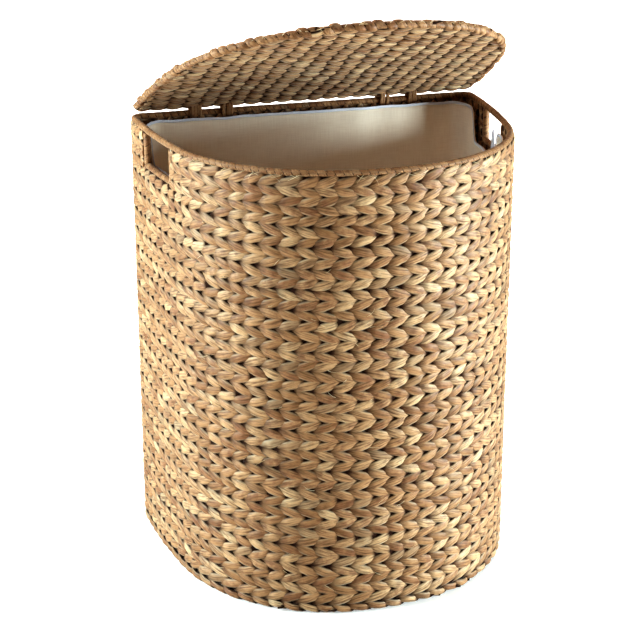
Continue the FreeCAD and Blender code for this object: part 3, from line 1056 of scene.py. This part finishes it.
# %% Lid edge
edge_run = lid_plan.half - lid_plan.half_back
LID_TURN = 0.0134        # length of edge that one folded course end covers
BACK_ROPE_PAST = 0.004   # how far the back rope runs past the corners
edge_line = plan_line(lid_plan, -edge_run, edge_run, LID_TURN * STRIP_STEP, lid_z, LID_TURN)
lid_edge = grow("lid_edge_strip", path_mesh("lid_edge_path", [edge_line]), strip_tree,
                strip_values(half_out=0.0034, half_up=0.0040, hump=0.0032, seed=15, unevenness=0.95))
back_half = lid_plan.half_back + BACK_ROPE_PAST
back_points = [(Vector((x, lid_back, lid_z)), DOWN, x / STAKE_PITCH, 0.0)
               for x in even(-back_half, back_half, STAKE_PITCH / RINGS)]
lid_back_rope = grow("lid_back_rope", path_mesh("lid_back_path", [(back_points, False)]),
                     rope_tree, rope_values(1, 73, swing_up=0.0030, half_height=0.0050,
                                            **{**PANEL_SIZES, "half_thickness": 0.0034}))
lid_border = join_pieces("lid_border", [lid_edge, lid_back_rope])
show_on_lid(lid_border, "fibre_strip", "lid_border_wrap")

# %% [markdown]
# ## The ties
#
# Four ties of fibre hold the lid. Each winds several times round the rim and the lid's back edge
# together. The line of one winding is the outline that a tight string would take round two
# pins, and it moves sideways a little on every turn.

# %% Ties
TIE_TURNS = 5
TIE_POINTS = 28          # points of one winding
TIE_RIM_RADIUS = 0.0062
TIE_LID_RADIUS = 0.0072
TIE_THICK = 0.0014
TIE_TURN = 0.030         # length of one turn of the strip's own twist
TIE_MARGIN = 0.0022
TIE_WOBBLE = 0.0030
rim_pin = hinge
lid_pin = Vector((0.0, lid_back, lid_z))


def tie_line(x_low, x_high, seed):
    """Windings round the two pins, as (place, out)."""
    draw = random.Random(seed)
    wobble = [draw.uniform(-TIE_WOBBLE, TIE_WOBBLE) for _ in range(TIE_TURNS + 2)]
    points = []
    for k in range(TIE_TURNS * TIE_POINTS + 1):
        share = k / (TIE_TURNS * TIE_POINTS)
        angle = 2 * math.pi * k / TIE_POINTS
        out = Vector((0.0, math.cos(angle), math.sin(angle)))
        on_rim = rim_pin + out * TIE_RIM_RADIUS
        on_lid = lid_pin + out * TIE_LID_RADIUS
        place = on_rim if on_rim.dot(out) > on_lid.dot(out) else on_lid
        shift = wobble[k // TIE_POINTS] * math.sin(angle / 2) ** 2
        points.append((place + Vector((x_low + (x_high - x_low) * share + shift, 0, 0)), out))
    return points


for number in range(1, 5):
    tie_low, tie_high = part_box("lid_tie_%d" % number)
    tie = strip_along("lid_tie_strip_%d" % number,
                      tie_line(tie_low[0] + TIE_MARGIN, tie_high[0] - TIE_MARGIN, number), TIE_TURN,
                      strip_values(half_out=TIE_THICK, half_up=0.0023, hump=0.0007,
                                   seed=20 + number))
    show_on_lid(tie, "fibre_strip", "lid_tie_%d" % number)

# %% [markdown]
# ## The cotton bag
#
# The bag is one sheet sewn into a tube with a bottom. It follows the wall with rounder corners,
# hangs in soft upright folds, and its mouth dips under both hand holes. The mesh is a grid that
# runs round the plan and up the wall, then closes over the bottom. A narrow pale hem and two
# small tabs are sewn to the mouth.

# %% Shape of the bag
bag_low, bag_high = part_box("liner_bag")
BAG_ROUND = 300
BAG_RISE = 56
bag_plan = Plan(0.0140, corner_radius=0.046)
BAG_FRONT_TOP = bag_high[2] + 0.001
BAG_BACK_TOP = bag_high[2] + 0.004
BAG_DIP = bag_high[2] - 0.042
DIP_FRONT = 0.004
DIP_BACK = 0.122
BAG_CORNER = 0.020       # radius between the wall and the bottom
BAG_FLOOR = bag_low[2] + 0.0008
MOUTH_RIPPLE = 0.0012
FOLD_HANG, FOLD_BROAD, FOLD_FINE = 0.0030, 0.0042, 0.0014   # steady, broad and fine hang


def smooth(value, low, high):
    t = min(max((value - low) / (high - low), 0.0), 1.0)
    return t * t * (3 - 2 * t)


def mouth_height(place):
    """Height of the bag's mouth over a point of its plan."""
    top = BAG_FRONT_TOP + (BAG_BACK_TOP - BAG_FRONT_TOP) * smooth(place.y, 0.10, 0.16)
    in_dip = smooth(place.y, DIP_FRONT - 0.020, DIP_FRONT + 0.008)
    in_dip *= 1.0 - smooth(place.y, DIP_BACK - 0.012, DIP_BACK + 0.014)
    return top + (BAG_DIP - top) * in_dip + MOUTH_RIPPLE * noise.noise(place * 38.0)


def fold_depth(place, z):
    """How far the cloth hangs in from its plan."""
    broad = noise.noise(Vector((place.x * 9.0, place.y * 9.0, z * 1.3)))
    fine = noise.noise(Vector((place.x * 34.0, place.y * 34.0, z * 3.5 + 7.0)))
    loose = 0.35 + 0.65 * smooth(z, 0.05, 0.50)
    return loose * (FOLD_HANG + FOLD_BROAD * broad + FOLD_FINE * fine)


def bag_point(k, j):
    """A point of the bag: k round the plan, j up from the bottom edge."""
    place, out = bag_plan.at(bag_plan.length * k / BAG_ROUND)
    z = BAG_FLOOR + (mouth_height(place) - BAG_FLOOR) * (j / BAG_RISE) ** 0.9
    inward = fold_depth(place, z)
    rise = z - BAG_FLOOR
    if rise < BAG_CORNER:
        inward += BAG_CORNER - math.sqrt(BAG_CORNER ** 2 - (BAG_CORNER - rise) ** 2)
    return Vector((place.x, place.y, 0)) - out * max(inward, 0.0003) + Vector((0, 0, z)), out


def round_faces(rows):
    """Faces of a grid that is closed round the bag, from the lowest row up."""
    faces = []
    for j in range(rows):
        for k in range(BAG_ROUND):
            a, b = j * BAG_ROUND + k, j * BAG_ROUND + (k + 1) % BAG_ROUND
            faces.append((a, a + BAG_ROUND, b + BAG_ROUND, b))
    return faces


# %% The bag's sheet
FLOOR_RINGS = 14
FLOOR_SAG = 0.0012       # height of the soft waves in the bottom
points, cloth = [], []
for j in range(BAG_RISE + 1):
    for k in range(BAG_ROUND):
        place, _ = bag_point(k, j)
        points.append(place)
        cloth.append((bag_plan.length * k / BAG_ROUND, place.z))
faces = round_faces(BAG_RISE)
for ring in range(1, FLOOR_RINGS + 1):
    keep = 1.0 - ring / (FLOOR_RINGS + 0.5)
    for k in range(BAG_ROUND):
        rim_point = points[k]
        flat = Vector((rim_point.x * keep, rim_point.y * keep, rim_point.z))
        flat.z += 0.0008 + FLOOR_SAG * max(noise.noise(flat * 16.0), 0.0)
        points.append(flat)
        cloth.append((flat.x, flat.y))
ring_start = [0] + [(BAG_RISE + ring) * BAG_ROUND for ring in range(1, FLOOR_RINGS + 1)]
for outer, inner in zip(ring_start, ring_start[1:]):
    for k in range(BAG_ROUND):
        follow = (k + 1) % BAG_ROUND
        faces.append((outer + k, outer + follow, inner + follow, inner + k))
centre = len(points)
points.append(Vector((0, 0, bag_low[2] + 0.0018)))
cloth.append((0.0, 0.0))
for k in range(BAG_ROUND):
    faces.append((ring_start[-1] + k, ring_start[-1] + (k + 1) % BAG_ROUND, centre))


def cloth_piece(name, points, faces, cloth, material, thick):
    """A sheet with its own cloth coordinates and a real thickness."""
    mesh = bpy.data.meshes.new(name)
    mesh.from_pydata(points, [], faces)
    uv = mesh.uv_layers.new(name="cloth")
    for loop in mesh.loops:
        uv.data[loop.index].uv = cloth[loop.vertex_index]
    mesh.polygons.foreach_set("use_smooth", [True] * len(mesh.polygons))
    mesh.materials.append(material)
    piece = bpy.data.objects.new(name, mesh)
    bpy.context.collection.objects.link(piece)
    skin = piece.modifiers.new("thickness", "SOLIDIFY")
    skin.thickness = thick
    skin.offset = 0.0
    print(name, "faces", len(faces))
    return piece


bag = cloth_piece("liner_bag_cloth", points, faces, cloth, cotton_finish, 0.0008)
show(bag, "basket", "liner_cotton", "liner_bag")

# %% Hem and tabs
HEM_HEIGHT = 0.0036
HEM_RISE = 3
HEM_OVER = 0.0006        # how far the hem stands over the mouth
points, cloth = [], []
for j in range(HEM_RISE + 1):
    for k in range(BAG_ROUND):
        place, out = bag_point(k, BAG_RISE)
        lowered = place - Vector((0, 0, HEM_HEIGHT * (1 - j / HEM_RISE) - HEM_OVER))
        belly = math.sin(math.pi * (0.15 + 0.7 * j / HEM_RISE))
        points.append(lowered - out * (0.0010 + 0.0008 * belly))
        cloth.append((bag_plan.length * k / BAG_ROUND, lowered.z))
hem = cloth_piece("liner_hem_cloth", points, round_faces(HEM_RISE), cloth, hem_finish, 0.0010)
show(hem, "basket", "hem_cotton", "liner_hem")

TAB_STEPS = 14
for word in ("left", "right"):
    tab_low, tab_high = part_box("liner_tab_" + word)
    x = (tab_low[0] + tab_high[0]) / 2
    side = 1 if x > 0 else -1
    points, faces, cloth = [], [], []
    for j in range(TAB_STEPS + 1):
        share = j / TAB_STEPS
        z = tab_low[2] + (tab_high[2] - tab_low[2]) * share
        half = (tab_high[1] - tab_low[1]) / 2 * (1.0 - 0.75 * share ** 3)
        y = (tab_low[1] + tab_high[1]) / 2 - 0.002 * math.sin(3.0 * share)
        lean = 0.0018 * math.sin(2.5 * share)
        for part in (-1.0, 0.0, 1.0):
            sag = 0.0012 * (1 - part * part)
            points.append(Vector((x + side * (sag - lean), y + part * half, z)))
            cloth.append((y + part * half, z))
    for j in range(TAB_STEPS):
        for part in range(2):
            a = j * 3 + part
            faces.append((a, a + 1, a + 4, a + 3))
    tab = cloth_piece("liner_tab_cloth_" + word, points, faces, cloth, hem_finish, 0.0008)
    show(tab, "basket", "hem_cotton", "liner_tab_" + word)

# %% [markdown]
# ## Stray fibres
#
# Dried stalk splits, and thin ends stand out of the weave. They are short curved hairs: most
# start in the wall, some stick out below the rim, and some stand round the lid's edge.

# %% Stray fibres
FIBRE_STEPS = 6
FIBRE_HALF = 0.00042     # half thickness at the root
FIBRE_TAPER = 0.7        # share of it that is gone at the tip
WALL_FIBRES = 170
RIM_FIBRES = 40
LID_FIBRES = 110


class Fibres:
    """Thin three-sided hairs gathered into one mesh."""

    def __init__(self, seed):
        self.draw = random.Random(seed)
        self.points, self.faces, self.tones = [], [], []

    def sprout(self, start, out, ahead, length, lift):
        """Add one hair that leaves its start ahead and curls out of the wall."""
        tone, curl = self.draw.random(), self.draw.uniform(-0.5, 0.5)
        over = ahead.cross(out).normalized()
        first = len(self.points)
        for j in range(FIBRE_STEPS + 1):
            t = j / FIBRE_STEPS
            spot = start + ahead * length * t + out * lift * math.sin(t * 2.2)
            spot += over * length * curl * t * t
            thick = FIBRE_HALF * (1.0 - FIBRE_TAPER * t)
            for corner in range(3):
                turn = 2 * math.pi * corner / 3
                self.points.append(spot + (out * math.cos(turn) + over * math.sin(turn)) * thick)
                self.tones.append(tone)
        for j in range(FIBRE_STEPS):
            for corner in range(3):
                a = first + j * 3 + corner
                b = first + j * 3 + (corner + 1) % 3
                self.faces.append((a, b, b + 3, a + 3))
        self.faces.append((first + 2, first + 1, first))
        last = first + FIBRE_STEPS * 3
        self.faces.append((last, last + 1, last + 2))

    def finished(self, name):
        mesh = bpy.data.meshes.new(name)
        mesh.from_pydata(self.points, [], self.faces)
        mesh.attributes.new("tone", "FLOAT", "POINT").data.foreach_set("value", self.tones)
        mesh.polygons.foreach_set("use_smooth", [True] * len(self.faces))
        mesh.materials.append(hair_finish)
        piece = bpy.data.objects.new(name, mesh)
        bpy.context.collection.objects.link(piece)
        print(name, "faces", len(self.faces))
        return piece


wall_fibres = Fibres(8)
draw = wall_fibres.draw
for number in range(WALL_FIBRES + RIM_FIBRES):
    at_rim = number >= WALL_FIBRES
    place, out = wall_plan.at(draw.uniform(-front_end, front_end) if at_rim
                              else draw.uniform(0.0, wall_plan.length))
    side = Vector((-out.y, out.x, 0.0)) * draw.choice((-1, 1))
    ahead = (side + UP * draw.uniform(-0.7, -0.1 if at_rim else 0.7)).normalized()
    z = rim_z - 0.002 if at_rim else draw.uniform(0.03, 0.54)
    wall_fibres.sprout(place + out * 0.0045 + UP * z, out, ahead,
                       draw.uniform(0.006, 0.018), draw.uniform(0.001, 0.005))
show(wall_fibres.finished("stray_fibres"), "basket", "fibre_rope")

lid_fibres = Fibres(12)
draw = lid_fibres.draw
for _ in range(LID_FIBRES):
    place, out = lid_plan.at(draw.uniform(-edge_run, edge_run))
    side = Vector((-out.y, out.x, 0.0)) * draw.choice((-1, 1))
    ahead = (side * draw.uniform(0.2, 1.0) + out * draw.uniform(0.0, 0.5)
             + UP * draw.uniform(-0.1, 0.6)).normalized()
    lid_fibres.sprout(place + out * 0.003 + UP * lid_z, out, ahead,
                      draw.uniform(0.005, 0.010), draw.uniform(0.002, 0.005))
show_on_lid(lid_fibres.finished("lid_stray_fibres"), "fibre_strip")

# %% [markdown]
# ## The wires
#
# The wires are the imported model's own shapes. They only get their finish: dark, drawn iron wire
# with a thin brown bloom.

# %% Wire finish on the frame
for node_name in ("rim_wire", "base_wire", "wall_stakes", "hand_hole_wire_left",
                  "hand_hole_wire_right", "base_stakes", "lid_frame_wire", "lid_ribs"):
    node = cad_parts[node_name]
    node.data.materials.clear()
    node.data.materials.append(wire_finish)
